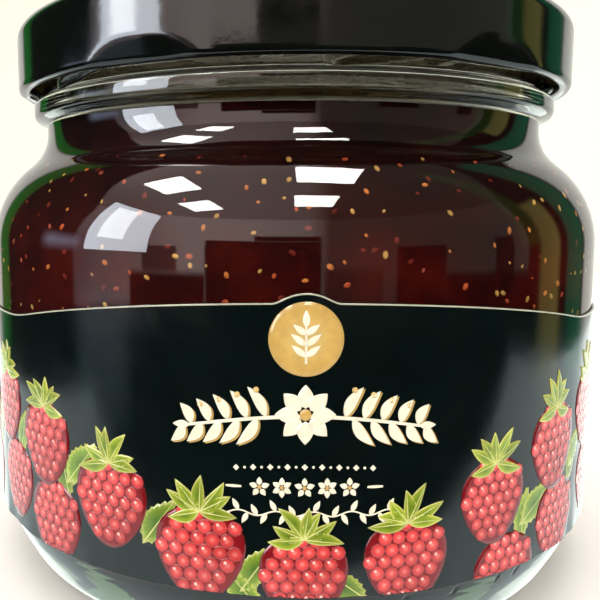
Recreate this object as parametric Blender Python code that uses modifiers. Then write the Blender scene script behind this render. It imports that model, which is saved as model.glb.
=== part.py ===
"""A filled jam jar: a squat shouldered glass, a six-lug twist-off lid, a wrap-round label and the jam inside.

Metres, +Z up. The origin is on the axis, on the surface that the jar stands on. The label's middle faces -Y.
"""

import math

import bmesh
import bpy
from mathutils import Vector

# Facets of the turned pieces
STEPS = 48
# The furthest that an arc's facets may stand off its true curve
ARC_ERROR = 0.00007
# Clearance between pieces that touch
GAP = 0.0003

# The glass: body, shoulder, neck and wall
BODY_RADIUS = 0.04705
BODY_TOP_RADIUS = 0.04695
TAPER_START = 0.037
NECK_RADIUS = 0.03875
WALL = 0.0029
SHOULDER_TOP = 0.06166
SHOULDER_SLOPE = math.radians(40)
SHOULDER_FILLET = 0.0145
NECK_FILLET = 0.0065

# The heel curves in to the standing ring, and the glass is thick at its base
HEEL_CORNER = 0.0095
HEEL_FILLET = 0.020
FOOT_RADIUS = 0.0420
FOOT_FILLET = 0.005
RING_INNER_RADIUS = 0.0355
PUSH_UP_RADIUS = 0.033
PUSH_UP_EDGE = 0.0018
PUSH_UP_CENTRE = 0.0028
FLOOR_HEIGHT = 0.0070
FLOOR_FILLET = 0.009

# The finish: a bead, then the wall that carries the threads, and the lip
BEAD_RADIUS = 0.04065
BEAD_BOTTOM = 0.0660
BEAD_TOP = 0.0693
FINISH_RADIUS = 0.0393
MOUTH_RADIUS = 0.0360
LIP_TOP = 0.0791

# Six thread starts, each rising to the right as seen from outside
THREAD_STARTS = 6
THREAD_DEPTH = 0.00075
THREAD_CENTRE_RADIUS = 0.03975
THREAD_LOW_HEIGHT = 0.07015
THREAD_RISE = 0.0055
THREAD_SWEEP = math.radians(50)
THREAD_FIRST = math.radians(4.7)

# The pressed lid
LID_RADIUS = 0.0428
LID_TOP = 0.0800
LID_BOTTOM = 0.0701
LID_SHEET = 0.0004
LID_CORNER = 0.0022
PANEL_RADIUS = 0.0310
PANEL_DROP = 0.0007
PANEL_STEP = 0.0022
BUTTON_RADIUS = 0.0105
BUTTON_DROP = 0.0004
CURL_WIDTH = 0.0018
CURL_HEIGHT = 0.0019

# The lugs sit below the threads, each this far along its thread
LUG_LEAD = math.radians(28.5)
LUG_SPAN = math.radians(8)
LUG_DEPTH = 0.0008
LUG_CENTRE_RADIUS = 0.0405
LUG_END_RADIUS = 0.0416
LUG_HEIGHT = 0.0709

# The jam stands just under the bead
JAM_LEVEL = 0.0660

# The label: its arched upper edge, the hump in its middle and the seam behind
LABEL_SHEET = 0.00015
LABEL_RADIUS = BODY_RADIUS + GAP
LABEL_BOTTOM = 0.0098
LABEL_ARCH_TOP = 0.04333
LABEL_ARCH_RADIUS = 0.222
LABEL_ARCH_REACH = 0.062
LABEL_EASE_REACH = 0.033
HUMP_CENTRE = 0.03935
HUMP_RADIUS = 0.00504
HUMP_BLEND = 0.0006
HUMP_COLUMNS = 12
SEAM_GAP = 0.0015


def clear_scene():
    for old in list(bpy.data.objects):
        bpy.data.objects.remove(old)


def new_collection(name):
    collection = bpy.data.collections.new(name)
    bpy.context.scene.collection.children.link(collection)
    return collection


def material(name, colour, roughness, metallic=0.0, transmission=0.0):
    made = bpy.data.materials.new(name)
    made.use_nodes = True
    surface = made.node_tree.nodes["Principled BSDF"]
    surface.inputs["Base Color"].default_value = (*colour, 1.0)
    surface.inputs["Roughness"].default_value = roughness
    surface.inputs["Metallic"].default_value = metallic
    surface.inputs["Transmission Weight"].default_value = transmission
    return made


def arc(start, end, centre):
    """Points from start to end round the centre, both ends included."""
    first = start - centre
    last = end - centre
    turn = math.atan2(first.x * last.y - first.y * last.x, first.dot(last))
    step = 2 * math.acos(1 - ARC_ERROR / first.length)
    count = math.ceil(abs(turn) / step)
    points = []
    for index in range(count + 1):
        angle = turn * index / count
        x = first.x * math.cos(angle) - first.y * math.sin(angle)
        y = first.x * math.sin(angle) + first.y * math.cos(angle)
        points.append(centre + Vector((x, y)))
    return points


def rounded(corners):
    """The outline through corners of (radius, height, fillet), where a fillet over 0 becomes an arc."""
    points = [Vector(corners[0][:2])]
    for before, corner, after in zip(corners, corners[1:], corners[2:]):
        here = Vector(corner[:2])
        fillet = corner[2]
        if not fillet:
            points.append(here)
            continue
        back = (Vector(before[:2]) - here).normalized()
        ahead = (Vector(after[:2]) - here).normalized()
        half = back.angle(ahead) / 2
        reach = fillet / math.tan(half)
        centre = here + (back + ahead).normalized() * fillet / math.sin(half)
        points += arc(here + back * reach, here + ahead * reach, centre)
    points.append(Vector(corners[-1][:2]))
    return points


def turned(name, points, look, collection):
    """A body of revolution whose profile ends on the axis. Its outer side runs from top to bottom."""
    mesh = bpy.data.meshes.new(name)
    edges = [(index, index + 1) for index in range(len(points) - 1)]
    mesh.from_pydata([(point.x, 0, point.y) for point in points], edges, [])
    mesh.materials.append(look)
    made = bpy.data.objects.new(name, mesh)
    collection.objects.link(made)
    screw = made.modifiers.new("turn", "SCREW")
    screw.steps = STEPS
    screw.render_steps = STEPS
    screw.use_merge_vertices = True
    screw.merge_threshold = 0.00001
    screw.use_smooth_shade = True
    return made


def around(radius, angle, height):
    """A point at an angle measured from -Y towards +X."""
    return Vector((radius * math.sin(angle), -radius * math.cos(angle), height))


def rod_mesh(name, points, depth, end_size):
    """A rod through the points, narrowed to end_size at both ends, as a closed mesh."""
    path = bpy.data.curves.new(name, "CURVE")
    path.dimensions = "3D"
    path.bevel_depth = depth
    path.bevel_resolution = 2
    path.use_fill_caps = True
    spline = path.splines.new("POLY")
    spline.points.add(len(points) - 1)
    for point, place in zip(spline.points, points):
        point.co = (*place, 1)
    spline.points[0].radius = end_size
    spline.points[-1].radius = end_size
    guide = bpy.data.objects.new(name, path)
    bpy.context.scene.collection.objects.link(guide)
    mesh = bpy.data.meshes.new_from_object(guide.evaluated_get(bpy.context.evaluated_depsgraph_get()))
    bpy.data.objects.remove(guide)
    shape = bmesh.new()
    shape.from_mesh(mesh)
    bmesh.ops.remove_doubles(shape, verts=shape.verts, dist=0.000001)
    shape.to_mesh(mesh)
    shape.free()
    return mesh


def join_copies(target, mesh, count, collection):
    """Joins copies of the mesh, spaced evenly round the axis, to the target."""
    for index in range(count):
        copy = bpy.data.objects.new(f"{mesh.name}_{index + 1}", mesh)
        copy.rotation_euler.z = 2 * math.pi * index / count
        copy.display_type = "WIRE"
        copy.hide_render = True
        collection.objects.link(copy)
    union = target.modifiers.new("join", "BOOLEAN")
    union.operation = "UNION"
    union.operand_type = "COLLECTION"
    union.collection = collection


def slope_corners(low_radius, high_radius, foot_height, low_fillet, high_fillet):
    """The two corners of the shoulder's straight slope, body end last."""
    rise = (low_radius - high_radius) * math.tan(SHOULDER_SLOPE)
    return [(high_radius, foot_height, high_fillet), (low_radius, foot_height - rise, low_fillet)]


def inner_wall(offset):
    """The inside of the glass from the neck down to the floor's middle, moved in by offset."""
    drop = (WALL + offset) * math.cos(SHOULDER_SLOPE)
    inward = (WALL + offset) * math.sin(SHOULDER_SLOPE)
    mouth = MOUTH_RADIUS - offset
    body = BODY_RADIUS - WALL - offset
    neck_slope = math.tan(SHOULDER_SLOPE)
    corner_height = SHOULDER_TOP - drop + (NECK_RADIUS - inward - mouth) * neck_slope
    shoulder = slope_corners(body, mouth, corner_height, SHOULDER_FILLET - WALL, NECK_FILLET + WALL)
    floor = FLOOR_HEIGHT + offset
    return shoulder + [(body, floor, FLOOR_FILLET - offset), (0, floor)]


def make_glass(collection, threads):
    inside = inner_wall(0)[::-1]
    lip = [(MOUTH_RADIUS, LIP_TOP, 0.0012), (FINISH_RADIUS, LIP_TOP, 0.0009)]
    bead = [
        (FINISH_RADIUS, BEAD_TOP, 0.0004),
        (BEAD_RADIUS, BEAD_TOP - 0.0002, 0.0009),
        (BEAD_RADIUS, BEAD_BOTTOM + 0.0006, 0.0009),
        (NECK_RADIUS, BEAD_BOTTOM, 0.0007),
    ]
    shoulder = slope_corners(BODY_TOP_RADIUS, NECK_RADIUS, SHOULDER_TOP, SHOULDER_FILLET, NECK_FILLET)
    body = [(BODY_RADIUS, TAPER_START, 0), (BODY_RADIUS, HEEL_CORNER, HEEL_FILLET)]
    foot = [
        (FOOT_RADIUS, 0, FOOT_FILLET),
        (RING_INNER_RADIUS, 0, 0.0006),
        (PUSH_UP_RADIUS, PUSH_UP_EDGE, 0.002),
        (0, PUSH_UP_CENTRE),
    ]
    look = material("clear_glass", (0.93, 0.97, 0.94), 0.02, transmission=1.0)
    profile = rounded(inside + lip + bead + shoulder + body + foot)
    glass = turned("glass_jar", profile, look, collection)

    points = []
    for index in range(11):
        part = index / 10
        angle = THREAD_FIRST + THREAD_SWEEP * part
        points.append(around(THREAD_CENTRE_RADIUS, angle, THREAD_LOW_HEIGHT + THREAD_RISE * part))
    join_copies(glass, rod_mesh("thread", points, THREAD_DEPTH, 0.5), THREAD_STARTS, threads)


def make_lid(collection, lugs):
    panel = LID_TOP - PANEL_DROP
    button = panel - BUTTON_DROP
    inner_radius = LID_RADIUS - LID_SHEET
    curl_inner = LID_RADIUS - CURL_WIDTH
    curl_top = LID_BOTTOM + CURL_HEIGHT
    outside = [
        (0, button),
        (BUTTON_RADIUS, button, 0.002),
        (BUTTON_RADIUS + 0.0014, panel, 0.002),
        (PANEL_RADIUS, panel, 0.001),
        (PANEL_RADIUS + PANEL_STEP, LID_TOP, 0.001),
        (LID_RADIUS, LID_TOP, LID_CORNER),
        (LID_RADIUS, LID_BOTTOM, 0.0008),
        (curl_inner, LID_BOTTOM, 0.0008),
        (curl_inner, curl_top, 0.0006),
        (inner_radius, curl_top, 0),
    ]
    inside = [
        (inner_radius, LID_TOP - LID_SHEET, LID_CORNER - LID_SHEET),
        (PANEL_RADIUS + PANEL_STEP, LID_TOP - LID_SHEET, 0.001),
        (PANEL_RADIUS, panel - LID_SHEET, 0.001),
        (0, button - LID_SHEET),
    ]
    look = material("black_lacquer", (0.012, 0.012, 0.013), 0.16, metallic=0.0)
    lid = turned("lid", rounded(outside + inside), look, collection)

    middle = THREAD_FIRST + LUG_LEAD
    points = []
    for index in range(-4, 5):
        part = index / 4
        reach = LUG_CENTRE_RADIUS + (LUG_END_RADIUS - LUG_CENTRE_RADIUS) * part**2
        points.append(around(reach, middle + LUG_SPAN * part, LUG_HEIGHT))
    join_copies(lid, rod_mesh("lug", points, LUG_DEPTH, 0.9), THREAD_STARTS, lugs)


def make_jam(collection):
    top = [(0, JAM_LEVEL), (MOUTH_RADIUS - GAP, JAM_LEVEL, 0)]
    look = material("dark_jam", (0.09, 0.004, 0.003), 0.12)
    turned("jam", rounded(top + inner_wall(GAP)), look, collection)


def label_top(angle):
    """The height of the label's upper edge: arched over the front, humped in the middle, level behind."""
    along = abs(angle) * LABEL_RADIUS
    reach = min(along, LABEL_ARCH_REACH)
    drop = reach**2 / (2 * LABEL_ARCH_RADIUS)
    past = min(max(along - LABEL_ARCH_REACH, 0), LABEL_EASE_REACH)
    slope = LABEL_ARCH_REACH / LABEL_ARCH_RADIUS
    drop += slope * (past - past**2 / (2 * LABEL_EASE_REACH))
    edge = LABEL_ARCH_TOP - drop
    hump = HUMP_CENTRE + math.sqrt(max(HUMP_RADIUS**2 - along**2, 0))
    blend = max(HUMP_BLEND - abs(edge - hump), 0)
    return max(edge, hump) + blend**2 / (4 * HUMP_BLEND)


def label_angles():
    """Angles of the label's columns: every degree across the hump, and with the glass's facets elsewhere."""
    end = math.pi - SEAM_GAP / (2 * LABEL_RADIUS)
    hump = [math.radians(degree) for degree in range(-HUMP_COLUMNS, HUMP_COLUMNS + 1)]
    facets = [2 * math.pi * index / STEPS for index in range(1 - STEPS // 2, STEPS // 2)]
    facets = [angle for angle in facets if abs(angle) > hump[-1]]
    return [-end, *sorted(facets + hump), end]


def make_label(collection):
    shape = bmesh.new()
    columns = []
    for angle in label_angles():
        low = shape.verts.new(around(LABEL_RADIUS, angle, LABEL_BOTTOM))
        high = shape.verts.new(around(LABEL_RADIUS, angle, label_top(angle)))
        columns.append((low, high))
    for (low, high), (next_low, next_high) in zip(columns, columns[1:]):
        shape.faces.new((low, next_low, next_high, high))
    mesh = bpy.data.meshes.new("label")
    shape.to_mesh(mesh)
    shape.free()
    mesh.materials.append(material("label_film", (0.010, 0.012, 0.014), 0.22))
    label = bpy.data.objects.new("label", mesh)
    collection.objects.link(label)
    sheet = label.modifiers.new("sheet", "SOLIDIFY")
    sheet.thickness = LABEL_SHEET
    sheet.offset = 1


def main():
    clear_scene()
    jar = new_collection("jam_jar")
    threads = new_collection("threads")
    lugs = new_collection("lugs")
    make_glass(jar, threads)
    make_lid(jar, lugs)
    make_jam(jar)
    make_label(jar)


main()
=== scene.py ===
import math
import random

import bmesh
import bpy
import numpy as np
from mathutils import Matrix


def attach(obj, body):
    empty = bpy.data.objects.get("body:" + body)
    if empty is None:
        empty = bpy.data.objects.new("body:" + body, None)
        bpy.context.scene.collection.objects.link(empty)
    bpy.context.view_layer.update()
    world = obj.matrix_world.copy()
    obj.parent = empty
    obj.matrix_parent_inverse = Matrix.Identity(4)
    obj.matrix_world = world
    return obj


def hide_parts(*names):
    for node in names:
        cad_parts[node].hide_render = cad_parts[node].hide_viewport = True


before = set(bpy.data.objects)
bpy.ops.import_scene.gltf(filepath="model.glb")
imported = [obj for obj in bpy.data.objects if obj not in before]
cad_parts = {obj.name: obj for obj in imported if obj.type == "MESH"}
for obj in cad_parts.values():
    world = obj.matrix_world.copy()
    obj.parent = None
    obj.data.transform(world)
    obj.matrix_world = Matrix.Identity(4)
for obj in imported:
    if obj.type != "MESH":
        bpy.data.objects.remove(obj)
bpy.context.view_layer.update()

# A filled jam jar: clear glass, black lacquered lid, glossy label and dark jam with seeds.
# Lengths are in millimetres. A mesh is scaled to metres when it is made.
MM = 0.001

# The glass: body, shoulder, neck and wall
BODY_RADIUS = 47.05
BODY_TOP_RADIUS = 46.95
TAPER_START = 37.0
NECK_RADIUS = 38.75
WALL = 2.9
SHOULDER_TOP = 61.66
SHOULDER_SLOPE = math.radians(40)
SHOULDER_FILLET = 14.5
NECK_FILLET = 6.5

# The heel, the standing ring and the thick base
HEEL_CORNER = 9.5
HEEL_FILLET = 20.0
FOOT_RADIUS = 42.0
FOOT_FILLET = 5.0
RING_INNER_RADIUS = 35.5
PUSH_UP_RADIUS = 33.0
PUSH_UP_EDGE = 1.8
PUSH_UP_CENTRE = 2.8
FLOOR_HEIGHT = 7.0
FLOOR_FILLET = 9.0

# The finish: the bead, then the wall that carries the threads, and the lip
BEAD_RADIUS = 40.65
BEAD_BOTTOM = 66.0
BEAD_TOP = 69.3
FINISH_RADIUS = 39.3
MOUTH_RADIUS = 36.0
LIP_TOP = 79.1

# Six thread starts, each rising to the right
THREAD_STARTS = 6
THREAD_FIRST = math.radians(4.7)
THREAD_SWEEP = math.radians(50)
THREAD_LOW = 70.15
THREAD_RISE = 5.5
THREAD_STAND = 1.2
THREAD_HALF_WIDTH = 0.95

# Short slanted marks moulded in the heel, the same on the jar's other side
MARK_ANGLES = (15.0, 23.5, 32.0, 36.4)
MARK_HEIGHT = 8.3
MARK_HALF_HEIGHT = 0.8
MARK_HALF_WIDTH = 0.3
MARK_DEPTH = 0.16
MARK_SLANT = 0.5

# The pressed lid
LID_RADIUS = 42.8
LID_TOP = 80.0
LID_BOTTOM = 70.1
LID_SHEET = 0.4
LID_CORNER = 2.2
PANEL_RADIUS = 31.0
PANEL_DROP = 0.7
PANEL_STEP = 2.2
BUTTON_RADIUS = 10.5
BUTTON_DROP = 0.4
CURL_WIDTH = 1.8
CURL_HEIGHT = 1.9
LUG_MIDDLE = THREAD_FIRST + math.radians(28.5)
LUG_HALF_SPAN = math.radians(11)
DENT_FOOT = 0.9
DENT_RISE = 2.1
DENT_SLOPE = 0.24
DENT_ZONE = 6.0
LUG_REACH = 0.8

# The jam reaches just into the wall
JAM_LEVEL = 66.0
JAM_BITE = 0.06

# The label: its arched upper edge, the hump in its middle and the seam behind
LABEL_RADIUS = 47.3
LABEL_SHEET = 0.16
LABEL_BOTTOM = 9.8
LABEL_ARCH_TOP = 43.33
LABEL_ARCH_RADIUS = 222.0
LABEL_ARCH_REACH = 62.0
LABEL_EASE_REACH = 33.0
HUMP_CENTRE = 39.35
HUMP_RADIUS = 5.04
HUMP_BLEND = 0.6
SEAM_GAP = 1.5
# The end of the label on each side of the seam, and the waves of its lower edge
LABEL_END = math.pi - SEAM_GAP / (2 * LABEL_RADIUS)
LABEL_COLUMNS = 640
LABEL_ROWS = 24
CRINKLE_HEIGHT = 4.5
CRINKLE_DEPTH = 0.13

# The print on the label, in millimetres along it from its middle and up from the standing ring
PRINT_LIFT = 0.01
PRINT_CELL = 0.8
PRINT_FOOT = LABEL_BOTTOM + 0.1
ROUNDEL_RADIUS = 4.09
GARLAND_HEIGHT = 29.2
GARLAND_RISE = 1.6
DOTS_HEIGHT = 25.1
BLOSSOM_HEIGHT = 22.7
SPRIG_HEIGHT = 19.7
BERRY_SLOTS = 25
BERRY_LOW = 12.0
BERRY_WAVE = 14.0
SECOND_ROW_FROM = 18.5

# Seeds in the jam's skin, against the glass
SEED_COUNT = 1250
SEED_TOP = 64.8
SEED_BOTTOM = 12.0

# Mesh fineness: columns round the jar, and how far a chord may stand off its arc
ROUND_STEPS = 336
ARC_ERROR = 0.003
GLASS_ARC_ERROR = 0.008


def arc(start, end, centre, error):
    """Points from start to end round the centre, with chords no further off the arc than error."""
    first = np.subtract(start, centre)
    last = np.subtract(end, centre)
    sweep = math.atan2(first[0] * last[1] - first[1] * last[0], first @ last)
    count = math.ceil(abs(sweep) / (2 * math.acos(1 - error / math.hypot(*first))))
    angles = np.linspace(0, sweep, count + 1)
    across = first[0] * np.cos(angles) - first[1] * np.sin(angles)
    up = first[0] * np.sin(angles) + first[1] * np.cos(angles)
    return [(centre[0] + x, centre[1] + y) for x, y in zip(across, up)]


def rounded(corners, error=ARC_ERROR):
    """The outline through corners of (radius, height, fillet), where a fillet over 0 becomes an arc."""
    points = [tuple(corners[0][:2])]
    for before, corner, after in zip(corners, corners[1:], corners[2:]):
        here = np.array(corner[:2])
        if not corner[2]:
            points.append(tuple(here))
            continue
        back = np.array(before[:2]) - here
        back = back / math.hypot(*back)
        ahead = np.array(after[:2]) - here
        ahead = ahead / math.hypot(*ahead)
        half = math.acos(max(-1.0, min(1.0, back @ ahead))) / 2
        reach = corner[2] / math.tan(half)
        middle = (back + ahead) / math.hypot(*(back + ahead))
        centre = here + middle * corner[2] / math.sin(half)
        points += arc(here + back * reach, here + ahead * reach, centre, error)
    points.append(tuple(corners[-1][:2]))
    return points


def divided(points, longest):
    """The outline with extra points, so that no step is longer than longest(radius, height)."""
    result = [points[0]]
    for start, end in zip(points, points[1:]):
        limit = longest((start[0] + end[0]) / 2, (start[1] + end[1]) / 2)
        count = max(1, math.ceil(math.dist(start, end) / limit))
        for index in range(1, count + 1):
            part = index / count
            result.append(tuple(np.add(np.multiply(start, 1 - part), np.multiply(end, part))))
    return result


def on_round(radius, angle, height):
    """Points round the axis, at angles measured from -Y towards +X."""
    return np.stack([radius * np.sin(angle), -radius * np.cos(angle), height + 0 * angle], axis=-1)


def new_piece(name, points, faces, look, replaces=(), crease=0, tints=None):
    """A smooth mesh piece, riding with the jar. tints is a colour for each point, for meshes whose faces
    already point outwards. The faces of the others are turned outwards here."""
    mesh = bpy.data.meshes.new(name)
    mesh.from_pydata((np.asarray(points) * MM).tolist(), [], faces)
    if tints is not None:
        layer = mesh.color_attributes.new("tint", "FLOAT_COLOR", "POINT")
        rows = np.column_stack([tints, np.ones(len(tints))])
        layer.data.foreach_set("color", rows.ravel())
    else:
        shape = bmesh.new()
        shape.from_mesh(mesh)
        bmesh.ops.recalc_face_normals(shape, faces=shape.faces)
        shape.to_mesh(mesh)
        shape.free()
    mesh.shade_smooth()
    if crease:
        mesh.set_sharp_from_angle(angle=math.radians(crease))
    for each in look if isinstance(look, list) else [look]:
        mesh.materials.append(each)
    piece = bpy.data.objects.new(name, mesh)
    bpy.context.scene.collection.objects.link(piece)
    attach(piece, "root")
    for node in replaces:
        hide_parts(node)
    return piece


def even_angles(steps):
    """Angles of equal steps round the axis."""
    return np.arange(steps) * (2 * math.pi / steps)


def turn(profile, angles, bend=None):
    """Points and faces of a turned skin. A profile point on the axis closes it there."""
    steps = len(angles)
    rings = []
    points = []
    faces = []
    for radius, height in profile:
        start = sum(len(ring) for ring in points)
        if radius < 0.000001:
            rings.append([start])
            points.append(np.array([[0.0, 0.0, height]]))
            continue
        radii = np.full(steps, float(radius))
        heights = np.full(steps, float(height))
        if bend:
            radii, heights = bend(radii, heights, angles)
        rings.append(list(range(start, start + steps)))
        points.append(on_round(radii, angles, heights))
    for upper, lower in zip(rings, rings[1:]):
        for index in range(steps):
            after = (index + 1) % steps
            if len(upper) == 1:
                faces.append((upper[0], lower[after], lower[index]))
            elif len(lower) == 1:
                faces.append((upper[index], upper[after], lower[0]))
            else:
                faces.append((upper[index], upper[after], lower[after], lower[index]))
    return np.concatenate(points), faces


def bell(value):
    """A smooth bump: 1 at 0, falling to 0 at -1 and 1."""
    inside = np.clip(1 - np.square(value), 0, 1)
    return inside * inside * (3 - 2 * inside)


# Materials


def settle(node, **settings):
    """Sets a node's attributes and inputs, or links an input to an output. In an input's name, underscores
    stand for spaces."""
    for name, value in settings.items():
        if hasattr(node, name):
            setattr(node, name, value)
        elif isinstance(value, bpy.types.NodeSocket):
            node.id_data.links.new(value, node.inputs[name.replace("_", " ")])
        else:
            node.inputs[name.replace("_", " ")].default_value = value
    return node


def add(tree, kind, **settings):
    """A new node, settled."""
    return settle(tree.nodes.new("ShaderNode" + kind), **settings)


def new_material(name):
    """A material, its nodes and its main shader."""
    made = bpy.data.materials.new(name)
    made.use_nodes = True
    return made, made.node_tree, made.node_tree.nodes["Principled BSDF"]


def noise(tree, scale, detail=2.0, rough=0.5):
    """Noise in object space. scale is in features a metre."""
    where = add(tree, "TexCoord").outputs["Object"]
    return add(tree, "TexNoise", Vector=where, Scale=scale, Detail=detail, Roughness=rough).outputs["Fac"]


def ramp(tree, factor, stops):
    """A colour ramp through stops of (position, colour)."""
    node = add(tree, "ValToRGB", Fac=factor)
    while len(node.color_ramp.elements) < len(stops):
        node.color_ramp.elements.new(0.5)
    for element, (position, colour) in zip(node.color_ramp.elements, stops):
        element.position = position
        element.color = (*colour, 1)
    return node.outputs["Color"]


def mapped(tree, value, low, high, result_low, result_high, kind="LINEAR"):
    """The value's range from low to high, mapped to another range and held at its ends."""
    node = add(tree, "MapRange", interpolation_type=kind, Value=value, From_Min=low, From_Max=high)
    return settle(node, To_Min=result_low, To_Max=result_high).outputs["Result"]


def sloped(tree, value, low, high, result_low=0.0, result_high=1.0):
    """A smooth step of the value from low to high."""
    return mapped(tree, value, low, high, result_low, result_high, "SMOOTHSTEP")


def spread(tree, factor, low, high):
    """The range of a noise, about 0.3 to 0.7, mapped to low and high."""
    return mapped(tree, factor, 0.3, 0.7, low, high)


def bump(tree, surface, height, distance, strength):
    """Fine relief on a surface. distance is in metres."""
    node = add(tree, "Bump", Strength=strength, Distance=distance, Height=height)
    settle(surface, Normal=node.outputs["Normal"])


def maths(tree, operation, *values):
    """A sum of numbers and sockets."""
    node = add(tree, "Math", operation=operation)
    for socket, value in zip(node.inputs, values):
        if isinstance(value, (int, float)):
            socket.default_value = value
        else:
            tree.links.new(value, socket)
    return node.outputs["Value"]


def product(tree, *values):
    """All values multiplied."""
    result = values[0]
    for value in values[1:]:
        result = maths(tree, "MULTIPLY", result, value)
    return result


def tinted(tree, colour, strength):
    """A colour, as a socket or three numbers, scaled by a socket."""
    return add(tree, "VectorMath", operation="SCALE", Vector=colour, Scale=strength).outputs["Vector"]


def either(tree, ray, usual, then):
    """The usual shader, or another one for one kind of ray."""
    node = add(tree, "MixShader")
    path = add(tree, "LightPath")
    for socket, value in zip(node.inputs, (path.outputs[ray], usual, then)):
        tree.links.new(value, socket)
    return node.outputs["Shader"]


def glass_look():
    """Clear glass, a little green in its thickness, that lets some light through as shadow."""
    made, tree, surface = new_material("clear_glass")
    settle(surface, Base_Color=(0.985, 1.0, 0.99, 1), Transmission_Weight=1, IOR=1.5)
    settle(surface, Roughness=spread(tree, noise(tree, 90, 3), 0.0, 0.03))
    bump(tree, surface, noise(tree, 45, 1), 0.0001, 0.6)
    clear = add(tree, "BsdfTransparent", Color=(0.93, 0.96, 0.94, 1))
    shown = either(tree, "Is Shadow Ray", surface.outputs["BSDF"], clear.outputs["BSDF"])
    tint = add(tree, "VolumeAbsorption", Color=(0.46, 0.60, 0.47, 1), Density=52.0)
    settle(tree.nodes["Material Output"], Surface=shown, Volume=tint.outputs["Volume"])
    return made


def lacquer_look():
    """Gloss black, with a faint orange-peel surface."""
    made, tree, surface = new_material("black_lacquer")
    stops = [(0.3, (0.001, 0.0016, 0.0012)), (0.8, (0.002, 0.003, 0.0025))]
    settle(surface, Base_Color=ramp(tree, noise(tree, 400, 4), stops))
    settle(surface, Roughness=spread(tree, noise(tree, 120, 5, 0.65), 0.06, 0.14))
    bump(tree, surface, noise(tree, 900, 2), 0.00002, 0.35)
    return made


def gold_look():
    """The brass-coloured lacquer inside the lid."""
    made, tree, surface = new_material("gold_inner_lacquer")
    stops = [(0.3, (0.19, 0.115, 0.04)), (0.7, (0.26, 0.16, 0.06))]
    settle(surface, Base_Color=ramp(tree, noise(tree, 300, 3), stops), Metallic=0.3)
    settle(surface, Roughness=spread(tree, noise(tree, 200, 4), 0.22, 0.32))
    return made


def film_look():
    """The label's glossy film, near black."""
    made, tree, surface = new_material("label_film")
    stops = [(0.3, (0.0006, 0.0025, 0.0024)), (0.8, (0.001, 0.004, 0.004))]
    settle(surface, Base_Color=ramp(tree, noise(tree, 150, 3), stops))
    settle(surface, Roughness=spread(tree, noise(tree, 160, 5, 0.6), 0.10, 0.2))
    bump(tree, surface, noise(tree, 500, 3), 0.00002, 0.4)
    return made


def jam_look():
    """Dark red with redder patches where fruit lies against the glass, and painted shade that darkens it to
    nearly black towards the neck.
    """
    made, tree, surface = new_material("dark_jam")
    stops = [(0.3, (0.012, 0.0004, 0.0004)), (0.5, (0.050, 0.0016, 0.0008)), (0.7, (0.105, 0.005, 0.002))]
    patches = ramp(tree, noise(tree, 95, 5, 0.6), stops)
    place = add(tree, "SeparateXYZ", Vector=add(tree, "TexCoord").outputs["Object"])
    # Painted shade: the colour falls to a quarter between 42 and 54 mm up, darkening the jam towards the
    # neck.
    depth = mapped(tree, place.outputs["Z"], 0.042, 0.054, 1.0, 0.25)
    settle(surface, Base_Color=tinted(tree, patches, depth), Roughness=0.6, Specular_IOR_Level=0.02)
    return made


def tint_look(name, gloss, scale, low, high):
    """The colour of each point, varied a little by noise."""
    made, tree, surface = new_material(name)
    colour = add(tree, "Attribute", attribute_name="tint").outputs["Color"]
    settle(surface, Base_Color=tinted(tree, colour, spread(tree, noise(tree, scale, 3), low, high)))
    settle(surface, Roughness=spread(tree, noise(tree, 160, 5, 0.6), gloss, gloss + 0.1))
    return made, tree, surface


def seed_look():
    made, tree, surface = tint_look("seeds", 0.5, 700, 0.8, 1.15)
    settle(surface, Specular_IOR_Level=0.05)
    return made


def print_look():
    made, tree, surface = tint_look("label_ink", 0.10, 900, 0.9, 1.08)
    bump(tree, surface, noise(tree, 500, 3), 0.00002, 0.4)
    return made


# The glass


def slope_corners(low_radius, high_radius, foot_height, low_fillet, high_fillet):
    """The two corners of the shoulder's straight slope, body end last."""
    rise = (low_radius - high_radius) * math.tan(SHOULDER_SLOPE)
    return [(high_radius, foot_height, high_fillet), (low_radius, foot_height - rise, low_fillet)]


def inner_wall(offset):
    """The inside of the glass from the neck down to the floor's middle, moved in by offset."""
    drop = (WALL + offset) * math.cos(SHOULDER_SLOPE)
    inward = (WALL + offset) * math.sin(SHOULDER_SLOPE)
    mouth = MOUTH_RADIUS - offset
    body = BODY_RADIUS - WALL - offset
    corner_height = SHOULDER_TOP - drop + (NECK_RADIUS - inward - mouth) * math.tan(SHOULDER_SLOPE)
    shoulder = slope_corners(body, mouth, corner_height, SHOULDER_FILLET - WALL, NECK_FILLET + WALL)
    floor = FLOOR_HEIGHT + offset
    return shoulder + [(body, floor, FLOOR_FILLET - offset), (0, floor)]


def threads(angles, heights):
    """How far the threads stand off the finish."""
    stand = np.zeros_like(angles)
    for start in range(THREAD_STARTS):
        lead = (angles - THREAD_FIRST - start * 2 * math.pi / THREAD_STARTS) % (2 * math.pi)
        part = lead / THREAD_SWEEP
        ends = np.clip(np.minimum(part, 1 - part) / 0.1, 0, 1)
        across = (heights - THREAD_LOW - THREAD_RISE * part) / THREAD_HALF_WIDTH
        ridge = np.sqrt(np.clip(1 - across * across, 0, 1))
        stand = np.maximum(stand, THREAD_STAND * ridge * np.sqrt(ends))
    return stand


def mark_angles():
    """The angles of the moulded marks, on both sides of the jar."""
    near = np.radians(MARK_ANGLES)
    return np.concatenate([near, near + math.pi])


def glass_angles():
    """Even columns, with finer ones across each moulded mark."""
    fine = np.radians(np.arange(-0.75, 0.76, 0.25))
    extra = [angle + fine for angle in mark_angles()]
    return np.unique(np.concatenate([even_angles(ROUND_STEPS), *extra]).round(6))


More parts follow.
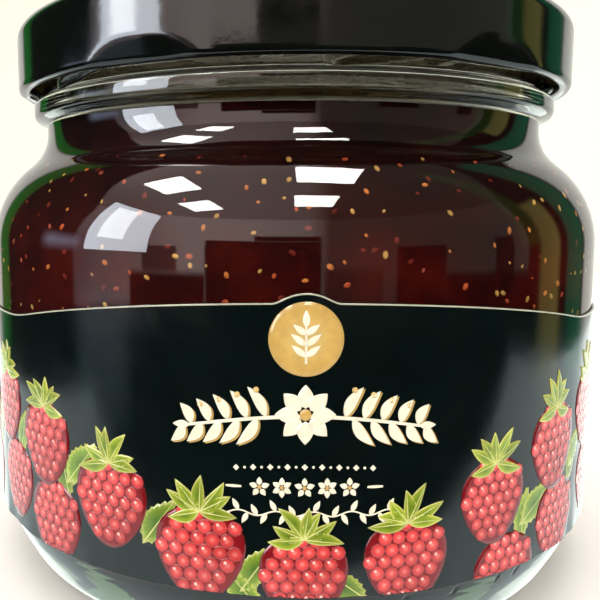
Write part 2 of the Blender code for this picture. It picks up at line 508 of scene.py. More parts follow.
def marks(radii, heights, angles):
    """How deep the moulded marks are."""
    depth = np.zeros_like(angles)
    along = heights - MARK_HEIGHT
    for angle in mark_angles():
        across = (angles - angle) * radii - MARK_SLANT * along
        depth = np.maximum(depth, bell(across / MARK_HALF_WIDTH) * bell(along / MARK_HALF_HEIGHT))
    return depth * MARK_DEPTH


def glass_bend(radii, heights, angles):
    """Threads on the finish, and marks in the heel."""
    if radii[0] < FOOT_RADIUS - 3 and heights[0] < BEAD_TOP:
        return radii, heights
    if heights[0] > BEAD_TOP and radii[0] > MOUTH_RADIUS + 2:
        room = np.clip((LIP_TOP - heights) / 1.5, 0, 1)
        return radii + threads(angles, heights) * room, heights
    if abs(heights[0] - MARK_HEIGHT) < MARK_HALF_HEIGHT and radii[0] > BODY_RADIUS - WALL:
        return radii - marks(radii, heights, angles), heights
    return radii, heights


def glass_steps(radius, height):
    """Short steps where the threads and the marks are, and long ones elsewhere."""
    if height > BEAD_TOP and radius > MOUTH_RADIUS + 2:
        return 0.31
    if abs(height - MARK_HEIGHT) < 1 and radius > BODY_RADIUS - WALL:
        return 0.2
    return 2.5


def make_glass():
    inside = inner_wall(0)[::-1]
    lip = [(MOUTH_RADIUS, LIP_TOP, 1.2), (FINISH_RADIUS, LIP_TOP, 0.9)]
    bead = [
        (FINISH_RADIUS, BEAD_TOP, 0.4),
        (BEAD_RADIUS, BEAD_TOP - 0.2, 0.9),
        (BEAD_RADIUS, BEAD_BOTTOM + 0.6, 0.9),
        (NECK_RADIUS, BEAD_BOTTOM, 0.7),
    ]
    shoulder = slope_corners(BODY_TOP_RADIUS, NECK_RADIUS, SHOULDER_TOP, SHOULDER_FILLET, NECK_FILLET)
    body = [(BODY_RADIUS, TAPER_START, 0), (BODY_RADIUS, HEEL_CORNER, HEEL_FILLET)]
    foot = [
        (FOOT_RADIUS, 0, FOOT_FILLET),
        (RING_INNER_RADIUS, 0, 0.6),
        (PUSH_UP_RADIUS, PUSH_UP_EDGE, 2.0),
        (0, PUSH_UP_CENTRE),
    ]
    profile = divided(rounded(inside + lip + bead + shoulder + body + foot, GLASS_ARC_ERROR), glass_steps)
    points, faces = turn(profile, glass_angles(), glass_bend)
    new_piece("glass_clear", points, faces, glass_look(), ["glass_jar"])


# The lid


def soft_over(value, softness):
    """The value where it is over 0, and 0 elsewhere, with a soft turn between."""
    return (value + np.sqrt(value * value + softness * softness)) / 2


def lid_bend(radii, heights, angles):
    """Sloping dents in the skirt where its lugs were pressed, and the lugs themselves under the curl."""
    spacing = 2 * math.pi / THREAD_STARTS
    away = (angles - LUG_MIDDLE + spacing / 2) % spacing - spacing / 2
    across = bell(away / LUG_HALF_SPAN)
    curl_top = LID_BOTTOM + CURL_HEIGHT
    if radii[0] > LID_RADIUS - 1 and heights[0] < LID_BOTTOM + DENT_ZONE:
        dent = DENT_SLOPE * soft_over(LID_BOTTOM + DENT_FOOT + DENT_RISE * across - heights, 0.3)
        outer = np.clip((radii - LID_RADIUS + CURL_WIDTH) / CURL_WIDTH, 0, 1)
        return radii - dent * outer * np.clip(across * 4, 0, 1), heights
    if LID_RADIUS - CURL_WIDTH - 1 < radii[0] < LID_RADIUS - 1 and heights[0] < curl_top + 0.1:
        return radii - LUG_REACH * across, heights
    return radii, heights


def lid_steps(radius, height):
    """Short steps where the dents are, and long ones elsewhere."""
    return 0.3 if radius > LID_RADIUS - 3 and height < LID_BOTTOM + DENT_ZONE else 3.0


def make_lid():
    panel = LID_TOP - PANEL_DROP
    button = panel - BUTTON_DROP
    curl_inner = LID_RADIUS - CURL_WIDTH
    curl_top = LID_BOTTOM + CURL_HEIGHT
    outside = [
        (0, button),
        (BUTTON_RADIUS, button, 2.0),
        (BUTTON_RADIUS + 1.4, panel, 2.0),
        (PANEL_RADIUS, panel, 1.0),
        (PANEL_RADIUS + PANEL_STEP, LID_TOP, 1.0),
        (LID_RADIUS, LID_TOP, LID_CORNER),
        (LID_RADIUS, LID_BOTTOM, 0.85),
        (curl_inner, LID_BOTTOM, 0.85),
        (curl_inner, curl_top, 0.6),
        (LID_RADIUS - LID_SHEET, curl_top),
    ]
    inside = [
        (LID_RADIUS - LID_SHEET, curl_top),
        (LID_RADIUS - LID_SHEET, LID_TOP - LID_SHEET, LID_CORNER - LID_SHEET),
        (PANEL_RADIUS + PANEL_STEP, LID_TOP - LID_SHEET, 1.0),
        (PANEL_RADIUS, panel - LID_SHEET, 1.0),
        (0, button - LID_SHEET),
    ]
    outer = divided(rounded(outside), lid_steps)
    inner = divided(rounded(inside), lid_steps)
    points, faces = turn(outer + inner[1:], even_angles(ROUND_STEPS), lid_bend)
    lid = new_piece("lid_pressed", points, faces, [lacquer_look(), gold_look()], ["lid"])
    for face in lid.data.polygons[(len(outer) - 1) * ROUND_STEPS :]:
        face.material_index = 1


# The jam


def make_jam():
    rim = MOUTH_RADIUS + JAM_BITE
    top = [(0, JAM_LEVEL - 0.4), (rim - 3, JAM_LEVEL - 0.4, 2.0), (rim, JAM_LEVEL, 0)]
    profile = divided(rounded(top + inner_wall(-JAM_BITE)), lambda radius, height: 1.5)
    points, faces = turn(profile, even_angles(ROUND_STEPS))
    new_piece("jam_fill", points, faces, jam_look(), ["jam"])


def seed_ball(place, outward, along, size):
    """A flat closed ellipsoid, half in the jam, as points and faces."""
    across = np.cross(outward, along)
    points = [place - outward * size[2]]
    around = np.arange(8) * (math.pi / 4)
    for level in (-0.55, 0.0, 0.6, 0.88):
        wide = math.sqrt(1 - level * level)
        for angle in around:
            offset = along * (math.cos(angle) * size[0]) + across * (math.sin(angle) * size[1])
            points.append(place + offset * wide + outward * (level * size[2]))
    points.append(place + outward * size[2])
    faces = []
    for index in range(8):
        after = (index + 1) % 8
        faces.append((0, 1 + after, 1 + index))
        for row in range(3):
            low = 1 + row * 8
            faces.append((low + index, low + after, low + 8 + after, low + 8 + index))
        faces.append((25 + index, 25 + after, 33))
    return points, faces


# How often each seed colour is drawn, and the dark red of a seed's sunk edge
SEED_COLOURS = {
    (0.75, 0.40, 0.11): 30,
    (0.75, 0.22, 0.05): 24,
    (0.60, 0.10, 0.03): 20,
    (0.50, 0.09, 0.06): 12,
    (0.20, 0.02, 0.01): 24,
}
SEED_RIM = np.array((0.10, 0.006, 0.003))
# The least room between two seeds' middles, drawn for each new seed
SEED_GAPS = (0.9, 1.4, 2.2)


def make_seeds():
    """Pale seeds scattered in the jam's skin, close under the glass, seldom touching each other."""
    draw = random.Random(11)
    wall = np.array(divided(rounded(inner_wall(-JAM_BITE)), lambda radius, height: 0.5))
    wall = wall[(wall[:, 1] < SEED_TOP) & (wall[:, 1] > SEED_BOTTOM)]
    lengths = np.concatenate([[0], np.cumsum(np.hypot(*np.diff(wall, axis=0).T))])
    points = []
    faces = []
    tints = []
    kept = []
    while len(kept) < SEED_COUNT:
        step = draw.uniform(0, lengths[-1])
        angle = draw.uniform(0, 2 * math.pi)
        row = min(int(np.searchsorted(lengths, step)), len(wall) - 2)
        row = max(row, 1)
        radius, height = wall[row]
        place = on_round(radius, np.array(angle), height)
        if kept and np.min(np.linalg.norm(np.array(kept) - place, axis=1)) < draw.choice(SEED_GAPS):
            continue
        kept.append(place)
        slope = wall[row + 1] - wall[row - 1]
        slope = slope / math.hypot(*slope)
        out = np.array([math.sin(angle), -math.cos(angle), 0]) * -slope[1] + np.array([0, 0, slope[0]])
        side = np.array([math.cos(angle), math.sin(angle), 0])
        up = np.cross(side, out)
        lean = draw.uniform(0, math.pi)
        along = side * math.cos(lean) + up * math.sin(lean)
        length = draw.choice((draw.uniform(0.2, 0.34), draw.uniform(0.34, 0.5), draw.uniform(0.36, 0.5)))
        size = (length, length * draw.uniform(0.62, 0.8), draw.uniform(0.13, 0.2))
        seed_points, seed_faces = seed_ball(place, out, along, size)
        start = len(points)
        points += seed_points
        faces += [tuple(start + index for index in face) for face in seed_faces]
        colour = draw.choices(list(SEED_COLOURS), list(SEED_COLOURS.values()))[0]
        crest = np.array(colour) * draw.uniform(0.75, 1.1)
        tints += [SEED_RIM] * 9 + [crest * 0.35 + SEED_RIM * 0.5] * 8 + [crest * 0.9] * 8 + [crest] * 9
    new_piece("jam_seeds", points, faces, seed_look(), tints=np.array(tints))


# The label


def label_top(angle):
    """The height of the label's upper edge: arched over the front, humped in the middle, level behind."""
    along = abs(angle) * (BODY_RADIUS + 0.3)
    reach = min(along, LABEL_ARCH_REACH)
    drop = reach**2 / (2 * LABEL_ARCH_RADIUS)
    past = min(max(along - LABEL_ARCH_REACH, 0), LABEL_EASE_REACH)
    slope = LABEL_ARCH_REACH / LABEL_ARCH_RADIUS
    drop += slope * (past - past**2 / (2 * LABEL_EASE_REACH))
    edge = LABEL_ARCH_TOP - drop
    hump = HUMP_CENTRE + math.sqrt(max(HUMP_RADIUS**2 - along**2, 0))
    blend = max(HUMP_BLEND - abs(edge - hump), 0)
    return max(edge, hump) + blend**2 / (4 * HUMP_BLEND)


def crinkle(angles, heights):
    """How far the film's lower edge stands off the glass, which curves away under it."""
    low = np.clip((LABEL_BOTTOM + CRINKLE_HEIGHT - heights) / CRINKLE_HEIGHT, 0, 1) ** 2
    waves = np.sin(angles * 23 + 1.3) + 0.7 * np.sin(angles * 41 + 0.4) + 0.5 * np.sin(angles * 67 + 2.0)
    return CRINKLE_DEPTH / 2.2 * low * waves


def make_label():
    """The film as a closed skin, with rows that lie closer towards its waved lower edge."""
    columns = LABEL_COLUMNS
    rows = LABEL_ROWS
    angles = np.linspace(-LABEL_END, LABEL_END, columns + 1)
    tops = np.array([label_top(angle) for angle in angles])
    points = []
    for radius in (LABEL_RADIUS, LABEL_RADIUS - LABEL_SHEET):
        for row in range(rows + 1):
            part = (row / rows) ** 1.5
            heights = LABEL_BOTTOM + (tops - LABEL_BOTTOM) * part
            points.append(on_round(radius + crinkle(angles, heights), angles, heights))
    wide = columns + 1
    back = wide * (rows + 1)
    faces = []
    for row in range(rows):
        for column in range(columns):
            corner = row * wide + column
            faces.append((corner, corner + 1, corner + wide + 1, corner + wide))
            faces.append((back + corner, back + corner + wide, back + corner + wide + 1, back + corner + 1))
    top = rows * wide
    for column in range(columns):
        faces.append((column, back + column, back + column + 1, column + 1))
        faces.append((top + column, top + column + 1, back + top + column + 1, back + top + column))
    for row in range(rows):
        low = row * wide
        faces.append((low, low + wide, back + low + wide, back + low))
        high = low + columns
        faces.append((high, back + high, back + high + wide, high + wide))
    new_piece("label_wrap", np.concatenate(points), faces, film_look(), ["label"], crease=50)


# The label's print


def ink(red, green, blue):
    """A screen colour of 0 to 255 as linear light."""
    part = np.array([red, green, blue]) / 255
    return np.where(part < 0.04045, part / 12.92, ((part + 0.055) / 1.055) ** 2.4)


CREAM = ink(240, 234, 214)
GOLD = ink(200, 165, 92)
PALE_GOLD = ink(222, 196, 130)


class Sheet:
    """Thin coloured shapes that lie on the label, a little over it, one layer over the other."""

    def __init__(self):
        self.points = []
        self.tints = []
        self.faces = []

    def put(self, rows, tints, layer, closed):
        """Rows of (along, up) points become a grid of faces, and the last row's edge goes down into the film.
        What would hang below the film is drawn up to its foot, and left out where nothing of it shows."""
        start = len(self.points)
        count = len(rows[0])
        for row, colours in zip(rows + [rows[-1]], tints + [tints[-1]]):
            self.points += [(u, max(v, PRINT_FOOT), layer) for u, v in row]
            self.tints += list(colours)
        base = len(rows)
        for index in range(count):
            u, v, _ = self.points[start + base * count + index]
            self.points[start + base * count + index] = (u, v, -2)
        for row in range(base):
            for column in range(count if closed else count - 1):
                low = start + row * count
                after = (column + 1) % count
                face = (low + column, low + count + column, low + count + after, low + after)
                if any(self.points[corner][1] > PRINT_FOOT + 0.01 for corner in face):
                    self.faces.append(face)

    def patch(self, centre, outline, shades, layer):
        """A filled outline round its centre. shades gives (part of the way out, colour)."""
        outline = np.array(outline)
        reach = np.hypot(*outline.T).max()
        even = np.linspace(0, 1, 2 + int(reach / PRINT_CELL))
        stops = sorted({round(part, 3) for part, _ in shades if part > 0} | set(even[1:].round(3)))
        known = [part for part, _ in shades]
        rows = []
        tints = []
        for part in stops:
            rows.append([tuple(point) for point in np.array(centre) + outline * part])
            colour = [np.interp(part, known, [shade[channel] for _, shade in shades]) for channel in range(3)]
            tints.append([colour] * len(outline))
        self.put(rows, tints, layer, True)
        middle = len(self.points)
        first = middle - len(outline) * (len(rows) + 1)
        if centre[1] > PRINT_FOOT:
            self.points.append((centre[0], centre[1], layer))
            self.tints.append(shades[0][1])
            for index in range(len(outline)):
                self.faces.append((middle, first + index, first + (index + 1) % len(outline)))

    def line(self, path, widths, colour, layer):
        """A line along path with a width at each point."""
        path = np.array(path, float)
        ahead = np.gradient(path, axis=0)
        ahead /= np.maximum(np.hypot(*ahead.T), 0.000001)[:, None]
        side = np.column_stack([-ahead[:, 1], ahead[:, 0]]) * (np.array(widths) / 2)[:, None]
        left = [tuple(point) for point in path + side]
        right = [tuple(point) for point in path - side]
        middle = [tuple(point) for point in path]
        colours = [[colour] * len(path)] * 2
        self.put([middle, left], colours, layer, False)
        self.put([middle[::-1], right[::-1]], colours, layer, False)

    def finish(self, name, look):
        along, up, layer = np.array(self.points).T
        angles = along / LABEL_RADIUS
        radii = LABEL_RADIUS + crinkle(angles, up) + PRINT_LIFT * (layer + 1)
        new_piece(name, on_round(radii, angles, up), self.faces, look, tints=np.array(self.tints))


def circle(radius, count=12):
    around = even_angles(count)
    return np.column_stack([np.cos(around) * radius, np.sin(around) * radius])


def turned(outline, angle):
    """Points turned anticlockwise about (0, 0)."""
    back = np.array([[math.cos(angle), math.sin(angle)], [-math.sin(angle), math.cos(angle)]])
    return np.array(outline) @ back


def blade(length, width, angle, bend=0.0, count=12):
    """A pointed leaf from its foot at (0, 0), as its outline about its middle, and that middle."""
    part = np.linspace(0, 1, count)
    half = width / 2 * np.sin(math.pi * part**0.8) ** 0.9
    spine = np.column_stack([part * length, bend * np.sin(math.pi * part)])
    left = spine + np.column_stack([0 * half, half])
    right = spine - np.column_stack([0 * half, half])
    outline = turned(np.concatenate([right, left[-2:0:-1]]), angle)
    middle = turned([[length * 0.45, bend]], angle)[0]
    return outline - middle, middle


def leaf(sheet, foot, length, width, angle, shades, layer, bend=0.0):
    """A pointed leaf on the sheet, from its foot."""
    outline, middle = blade(length, width, angle, bend)
    sheet.patch(np.array(foot) + middle, outline, shades, layer)


def flower(sheet, centre, radius, petals, colour, layer, heart):
    """Petals round a heart."""
    for index in range(petals):
        angle = math.pi / 2 + index * 2 * math.pi / petals
        foot = np.array(centre) + turned([[radius * 0.22, 0]], angle)[0]
        leaf(sheet, foot, radius * 0.8, radius * 0.55, angle, [(0, colour), (1, colour)], layer)
    sheet.patch(centre, circle(radius * 0.2), [(0, heart), (1, heart)], layer)


def print_edge(sheet):
    """A pale line along the label's upper edge, where the cut film shows."""
    end = LABEL_END - 0.002
    angles = np.linspace(-end, end, 900)
    path = np.array([(angle * LABEL_RADIUS, label_top(angle) - 0.12) for angle in angles])
    sheet.line(path, [0.17] * len(path), ink(176, 178, 160), 12)


def print_roundel(sheet):
    """A gold disc with a plain sprig."""
    gold = [(0, PALE_GOLD * 0.86), (0.7, GOLD), (1, GOLD * 0.92)]
    sheet.patch((0, HUMP_CENTRE), circle(ROUNDEL_RADIUS, 72), gold, 0)
    stem = [(0, HUMP_CENTRE - 2.7 + 0.3 * step) for step in range(17)]
    sheet.line(stem, [0.26] * len(stem), CREAM, 2)
    cream = [(0, CREAM), (1, CREAM)]
    for height, size in ((-1.9, 2.0), (-0.7, 2.1), (0.5, 1.8)):
        for side in (-1, 1):
            angle = math.pi / 2 - side * math.radians(52)
            leaf(sheet, (0, HUMP_CENTRE + height), size, 0.72, angle, cream, 3)
    leaf(sheet, (0, HUMP_CENTRE + 1.3), 1.9, 0.8, math.pi / 2, cream, 3)


def print_garland(sheet):
    """A leafy garland in cream, with gold shadows, where a title would stand."""
    def arch(u):
        return GARLAND_HEIGHT + GARLAND_RISE * math.cos(u / 14 * math.pi / 2)

    us = np.linspace(-13.2, 13.2, 60)
    sheet.line([(u, arch(u)) for u in us], 0.3 + 0.12 * np.cos(us / 8.5), CREAM, 3)
    flower(sheet, (0, arch(0) + 0.2), 3.3, 8, CREAM, 4, GOLD)
    cream = [(0, CREAM), (0.8, CREAM), (1, CREAM * 0.92)]
    gold = [(0, GOLD), (1, GOLD * 0.8)]
    for side in (-1, 1):
        for step in range(5):
            u = 4.3 + 2.1 * step
            size = 3.9 - 0.32 * step
            for sign in (-1, 1):
                foot = (side * (u + (0.9 if sign < 0 else 0)), arch(u) + 0.1 * sign)
                aim = math.radians(58 if sign > 0 else -52)
                angle = aim if side > 0 else math.pi - aim
                shadow = (foot[0] + 0.22, foot[1] - 0.16)
                bend = 0.3 * side * sign
                leaf(sheet, shadow, size, 1.25, angle, gold, 1, bend)
                leaf(sheet, foot, size, 1.25, angle, cream, 4, bend)
        tip = 0.0 if side > 0 else math.pi
        leaf(sheet, (side * 13.0, arch(13.2)), 2.0, 0.9, tip, cream, 4)
        for step in range(4):
            spot = (side * (5.4 + 2.1 * step), arch(5.4 + 2.1 * step) + 3.2 - 0.35 * step)
            sheet.patch(spot, circle(0.34), [(0, PALE_GOLD), (1, GOLD)], 4)


def print_small(sheet):
    """A row of dots and lozenges, a row of small blossoms between two rules, and a waved sprig."""
    plain = [(0, CREAM), (1, CREAM)]
    for step in range(-8, 9):
        spot = (step * 0.95, DOTS_HEIGHT - 0.004 * step * step)
        if step % 2:
            sheet.patch(spot, circle(0.16, 8), plain, 3)
        else:
            sheet.patch(spot, circle(0.36, 4), plain, 3)
    for side in (-1, 1):
        rule = [(side * (7.0 + 0.3 * step), BLOSSOM_HEIGHT) for step in range(7)]
        sheet.line(rule, [0.2, 0.26, 0.3, 0.32, 0.3, 0.26, 0.2], CREAM, 3)
    for step in range(-2, 3):
        flower(sheet, (step * 2.5, BLOSSOM_HEIGHT), 1.15, 6 if step % 2 else 5, CREAM, 3, GOLD)

    def wave(u):
        return SPRIG_HEIGHT + 0.28 * math.sin(u * 1.5)

    stem = [(u, wave(u)) for u in np.linspace(-10.0, 10.0, 60)]
    sheet.line(stem, [0.16] * len(stem), CREAM, 3)
    for step in range(-9, 10):
        u = step * 1.047
        up = 1 if step % 2 else -1
        aim = up * math.radians(62) if step > 0 else math.pi - up * math.radians(62)
        leaf(sheet, (u, wave(u)), 1.45, 0.62, aim, plain, 3)


def print_berry(sheet, draw, u, v, size, layer):
    """A round berry of many small drupelets under a crown of pointed leaves."""
    rim = []
    for angle in np.linspace(0, 2 * math.pi, 28, endpoint=False):
        lean = 0.54 * math.sin(angle)
        rim.append((size * 0.5 * math.cos(angle) * (1 + 0.4 * lean), size * lean))
    dark = ink(120, 14, 22)
    shine = [(0, ink(255, 214, 205)), (1, ink(250, 176, 168))]
    sheet.patch((u, v), rim, [(0, dark), (0.9, dark), (1, dark * 0.8)], layer)
    cell = size * 0.165
    row = 0
    y = -size * 0.52
    while y < size * 0.5:
        x = -size * 0.6 + (row % 2) * cell / 2
        while x < size * 0.6:
            lean = y / size / 0.54
            half = 0.5 * math.sqrt(max(0, 1 - lean * lean)) * (1 + 0.22 * lean)
            if abs(x) < size * half - cell * 0.3:
                light = 0.62 + 0.38 * (y / size + 0.5) - 0.25 * x / size + draw.uniform(-0.07, 0.07)
                body = ink(232, 76, 78) * light
                pink = ink(248, 146, 138) * light
                spot = (u + x + draw.uniform(-0.06, 0.06), v + y + draw.uniform(-0.06, 0.06))
                shape = circle(cell * draw.uniform(0.5, 0.56), 8)
                sheet.patch(spot, shape, [(0, pink), (0.45, body), (0.85, body * 0.72), (1, dark)], layer + 1)
                if draw.random() < 0.62:
                    glint = (spot[0] - cell * 0.14, spot[1] + cell * 0.17)
                    sheet.patch(glint, circle(cell * 0.13, 5), shine, layer + 2)
            x += cell
        y += cell * 0.84
        row += 1


def print_crown(sheet, draw, u, v, size, layer):
    """Seven pointed leaves with pale veins, fanned over a berry."""
    for step in range(-3, 4):
        angle = math.pi / 2 + step * math.radians(33) + draw.uniform(-0.15, 0.15)
        length = size * draw.uniform(0.36, 0.5)
        light = draw.uniform(0.7, 1.1)
        edge = ink(214, 214, 120) * light
        shades = [(0, ink(96, 128, 34) * light), (0.75, ink(152, 172, 52) * light), (1, edge)]
        bend = draw.uniform(-0.4, 0.4)
        leaf(sheet, (u, v), length, size * 0.15, angle, shades, layer, bend)
        tip = turned([[length * 0.85, 0]], angle)[0]
        vein = np.linspace((u, v), (u + tip[0], v + tip[1]), 6)
        sheet.line(vein, [0.14, 0.13, 0.12, 0.1, 0.08, 0.05], ink(206, 212, 132), layer + 1)


def print_leaf(sheet, draw, u, v, length, angle, layer):
    """A broad leaf with a toothed edge."""
    light = draw.uniform(0.75, 1.1)
    greens = ((0, (66, 104, 30)), (0.7, (120, 150, 44)), (1, (190, 200, 104)))
    shades = [(part, ink(*colour) * light) for part, colour in greens]
    outline, middle = blade(length, length * 0.46, angle, 0.3, 18)
    jagged = outline * (1 + 0.07 * (-1.0) ** np.arange(len(outline)))[:, None]
    sheet.patch((u + middle[0], v + middle[1]), jagged, shades, layer)
    tip = turned([[length * 0.92, 0.1]], angle)[0]
    vein = np.linspace((u, v), (u + tip[0], v + tip[1]), 9)
    sheet.line(vein, np.linspace(0.2, 0.06, 9), ink(204, 210, 130), layer + 1)


def berry_height(slot):
    """The height of a berry's middle: low in front, and higher and lower round the jar."""
    around = slot * 2 * math.pi / BERRY_SLOTS
    return BERRY_LOW + BERRY_WAVE * math.sin(1.5 * around) ** 2


def print_fruit(sheet):
    """Berries and leaves along the label's foot, higher and lower by turns all round."""
    draw = random.Random(5)
    pitch = 2 * math.pi * LABEL_RADIUS / BERRY_SLOTS
    half = BERRY_SLOTS // 2
    for slot in range(-half, half + 1):
        u = slot * pitch
        v = berry_height(slot) + draw.uniform(-0.5, 0.5)
        if v > SECOND_ROW_FROM:
            length = draw.uniform(6, 7.5)
            print_leaf(sheet, draw, u + pitch * 0.42, v - 6, length, math.radians(draw.uniform(60, 110)), 0)
            print_berry(sheet, draw, u + draw.uniform(0.5, 3.5), v - 10, 10.2, 2)
        side = draw.choice((-1, 1))
        if slot not in (-half, half):
            angle = math.pi / 2 - side * math.radians(draw.uniform(35, 60))
            print_leaf(sheet, draw, u + side * pitch * 0.4, v - 4.0, draw.uniform(6.5, 8), angle, 1)
        size = draw.uniform(9.6, 10.8)
        if slot in (-half, half):
            size = 8.6
        print_berry(sheet, draw, u, v, size, 5)
        print_crown(sheet, draw, u, v + size * 0.47, size, 8)


def make_print():
    """The whole print, as one piece."""
    sheet = Sheet()
    print_fruit(sheet)
    print_roundel(sheet)
    print_garland(sheet)
    print_small(sheet)
    print_edge(sheet)
    sheet.finish("label_print", print_look())


# The stage, lights and camera


def panel_light(name, centre, size, tilt, radiance, colour, mirrored=True):
    """A rectangular lamp that the camera doesn't see, in metres. A mirrored one only shows in reflections,
    and any other only lights the scene."""
    data = bpy.data.lights.new(name, "AREA")
    data.shape = "RECTANGLE"
    data.size = size[0]
    data.size_y = size[1]
    data.energy = radiance * math.pi * size[0] * size[1]
    data.color = colour
    lamp = bpy.data.objects.new(name, data)
    lamp.location = centre
    lamp.rotation_euler = tilt
    lamp.visible_camera = False
    lamp.visible_diffuse = not mirrored
    lamp.visible_glossy = mirrored
    lamp.visible_transmission = mirrored
    bpy.context.scene.collection.objects.link(lamp)
    return lamp


def make_stage():
    """A pale paper floor that rises to a backdrop far behind. Its colour holds a painted pool of light:
    lightest near the jar, a little darker and warmer away from it.
    """
    profile = rounded([(0, 0), (1100, 0, 500), (1100, 1500, 0), (1101, 1500)], 2.0)
    points, faces = turn(profile, even_angles(96))
    mesh = bpy.data.meshes.new("floor")
    mesh.from_pydata((points * MM).tolist(), [], faces)
    mesh.shade_smooth()
    made, tree, surface = new_material("paper_with_painted_light")
    where = add(tree, "TexCoord").outputs["Object"]
    length = add(tree, "VectorMath", operation="LENGTH", Vector=where)
    grain = maths(tree, "MULTIPLY", noise(tree, 3, 2), 0.06)
    # Painted light: the paper's colour is lightest near the jar and darker and warmer farther away.
    away = sloped(tree, maths(tree, "ADD", length.outputs["Value"], grain), 0.15, 0.65)
    colour = ramp(tree, away, [(0, (0.98, 0.98, 0.97)), (1, (0.77, 0.75, 0.69))])
    settle(surface, Base_Color=colour, Roughness=0.8, Specular_IOR_Level=0.1)
    mesh.materials.append(made)
    floor = bpy.data.objects.new("floor", mesh)
    bpy.context.scene.collection.objects.link(floor)
    floor.visible_glossy = False
    floor.visible_shadow = False


# Which way the lamps shine: down, from the left, up, and from the front
DOWN = (0, 0, 0)
FROM_LEFT = (0, -math.pi / 2, 0)
UP = (math.pi, 0, 0)
FROM_FRONT = (math.radians(72), 0, math.radians(-12))
# The middles of the four lit panels in the room's ceiling, in metres
CEILING_PANELS = {"a": (0.33, -0.42), "b": (0.29, -1.68), "c": (-1.24, -0.48), "d": (-1.38, -1.70)}


def make_lights():
    """Ceiling panels, a window and a pale table top to mirror, and two soft lamps that light the jar."""
    for name, (x, y) in CEILING_PANELS.items():
        panel_light("ceiling_panel_" + name, (x, y, 2.0), (0.56, 0.66), DOWN, 26, (1.0, 0.98, 0.94))
    panel_light("window", (-3.0, -1.5, 1.2), (2.2, 1.75), FROM_LEFT, 11, (0.82, 0.90, 1.0))
    panel_light("window_core", (-2.99, -1.25, 1.35), (1.5, 0.7), FROM_LEFT, 9, (0.95, 0.98, 1.0))
    table = panel_light("table_top", (0.03, 0.23, 0.0005), (0.36, 0.6), UP, 1.3, (0.86, 1.0, 1.0))
    table.visible_transmission = False
    panel_light("soft_top", (-0.4, -0.6, 2.4), (3.2, 3.2), DOWN, 1.65, (1.0, 1.0, 0.98), False)
    panel_light("soft_front", (-0.5, -2.4, 0.9), (3.4, 2.2), FROM_FRONT, 1.5, (1.0, 0.99, 0.97), False)


def total(tree, *colours):
    """All colours added."""
    result = colours[0]
    for colour in colours[1:]:
        node = add(tree, "VectorMath", operation="ADD")
        tree.links.new(result, node.inputs[0])
        tree.links.new(colour, node.inputs[1])
        result = node.outputs["Vector"]
    return result


def between(tree, value, low, high, soft):
    """1 where the value is between low and high, with soft edges, and 0 elsewhere."""
    rising = sloped(tree, value, low - soft, low + soft)
    return product(tree, rising, sloped(tree, value, high + soft, high - soft))


# The front wall's brightness across the room, from the far left at 0 to the far right at 1
WALL_STOPS = [
    (0.00, (0.30, 0.30, 0.35)),
    (0.02, (0.90, 0.80, 0.85)),
    (0.08, (1.60, 1.15, 1.10)),
    (0.20, (2.50, 2.10, 2.00)),
    (0.40, (2.40, 1.95, 1.85)),
    (0.54, (2.00, 1.60, 1.50)),
    (0.60, (0.34, 0.28, 0.23)),
    (0.85, (0.26, 0.25, 0.21)),
    (1.00, (0.26, 0.25, 0.21)),
]
# What the room holds beside its front wall: azimuth and elevation ranges in degrees, softness and brightness
ROOM_LIGHTS = [
    (-139, -129, -12, 60, 1.5, (0.01, 0.26, 0.03)),
    (-180, -140, -70, 35, 2.0, (0.95, 0.95, 0.86)),
    (-100, -82, 2, 8, 4.0, (1.3, 1.5, 2.1)),
    (-82, -60, -16, -6, 2.0, (0.25, 0.34, 0.42)),
    (85, 95, 2, 60, 2.0, (0.01, 0.14, 0.02)),
    (95, 107, -12, 26, 2.0, (0.55, 0.50, 0.14)),
    (113, 127, -12, 50, 2.0, (0.01, 0.20, 0.10)),
    (129, 180, -70, 35, 2.0, (0.95, 0.95, 0.86)),
]
# Dark furniture and gaps in front of the wall: the same ranges, softness and how dark it is
ROOM_BLOCKS = [
    (-31, 9, -30, 12, 0.8, 1.0),
    (-14, 9, 12, 16.5, 0.8, 1.0),
    (-54, -41, -4, 6, 0.8, 0.85),
    (-59, -31, -30, -4, 0.8, 1.0),
    (10, 30, -30, -3.3, 0.8, 0.55),
    (35, 53, -30, 6.5, 0.8, 1.0),
    (53, 90, -30, -4, 0.8, 1.0),
    (73, 81, -6, 9.5, 0.8, 0.9),
]


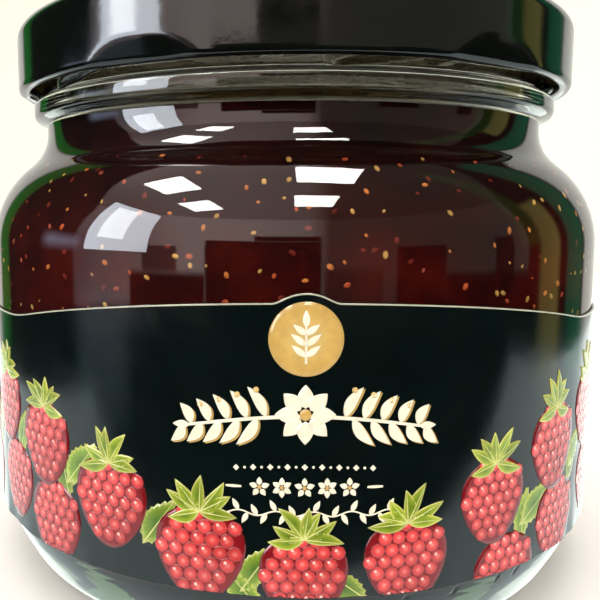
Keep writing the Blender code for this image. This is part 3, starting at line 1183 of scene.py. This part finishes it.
def make_world():
    """A room for the glass, lacquer and label to mirror: a lit wall and ceiling in front, a pale sweep behind
    and dark above it. The camera sees only a plain pale backdrop."""
    world = bpy.data.worlds.new("room")
    world.use_nodes = True
    bpy.context.scene.world = world
    tree = world.node_tree
    towards = add(tree, "SeparateXYZ", Vector=add(tree, "TexCoord").outputs["Generated"])
    x, y, z = (towards.outputs[axis] for axis in "XYZ")
    azimuth = maths(tree, "ARCTAN2", x, maths(tree, "MULTIPLY", y, -1))
    around = maths(tree, "MULTIPLY", azimuth, math.degrees(1))
    rise = maths(tree, "MULTIPLY", maths(tree, "ARCSINE", z), math.degrees(1))
    wall = ramp(tree, mapped(tree, x, -1.0, 1.0, 0.0, 1.0), WALL_STOPS)
    edge = maths(tree, "ADD", y, sloped(tree, x, -0.6, 0.6, 0.10, 0.03))
    edge = maths(tree, "SUBTRACT", edge, sloped(tree, z, 0.45, 0.95, 0.0, 0.32))
    front = sloped(tree, edge, 0.02, -0.02)
    raised = sloped(tree, z, -0.13, -0.11)
    ceiling = sloped(tree, z, 0.52, 0.54, 1.0, 0.55)
    open_part = product(tree, front, raised, ceiling)
    for left, right, low, high, soft, depth in ROOM_BLOCKS:
        block = product(tree, between(tree, around, left, right, soft), between(tree, rise, low, high, soft))
        open_part = maths(tree, "MULTIPLY", open_part, maths(tree, "MULTIPLY_ADD", block, -depth, 1.0))
    parts = [tinted(tree, wall, open_part)]
    for left, right, low, high, soft, colour in ROOM_LIGHTS:
        lit = product(tree, between(tree, around, left, right, soft), between(tree, rise, low, high, soft))
        parts.append(tinted(tree, colour, lit))
    dim = add(tree, "RGB").outputs["Color"]
    dim.default_value = (0.02, 0.02, 0.018, 1)
    room = settle(tree.nodes["Background"], Color=total(tree, dim, *parts)).outputs["Background"]
    seen = add(tree, "Background", Color=(0.95, 0.94, 0.89, 1), Strength=1.0).outputs["Background"]
    settle(tree.nodes["World Output"], Surface=either(tree, "Is Camera Ray", room, seen))


# The camera's place in metres, its turn, and its lens and sensor in millimetres
CAMERA_PLACE = (-0.00567, -0.1259, 0.05342)
CAMERA_TURN = (math.radians(82.88), 0, math.radians(1.19))
CAMERA_LENS = 44.45
CAMERA_SENSOR = 36
CAMERA_SHIFT = 0.1027


def make_camera():
    """The photograph's viewing angle and framing."""
    data = bpy.data.cameras.new("camera")
    data.lens = CAMERA_LENS
    data.sensor_width = CAMERA_SENSOR
    data.shift_x = CAMERA_SHIFT
    data.clip_start = 0.01
    camera = bpy.data.objects.new("camera", data)
    camera.location = CAMERA_PLACE
    camera.rotation_euler = CAMERA_TURN
    bpy.context.scene.collection.objects.link(camera)
    bpy.context.scene.camera = camera
    bpy.context.scene.view_settings.view_transform = "Standard"


make_glass()
make_lid()
make_jam()
make_seeds()
make_label()
make_print()
make_stage()
make_lights()
make_world()
make_camera()
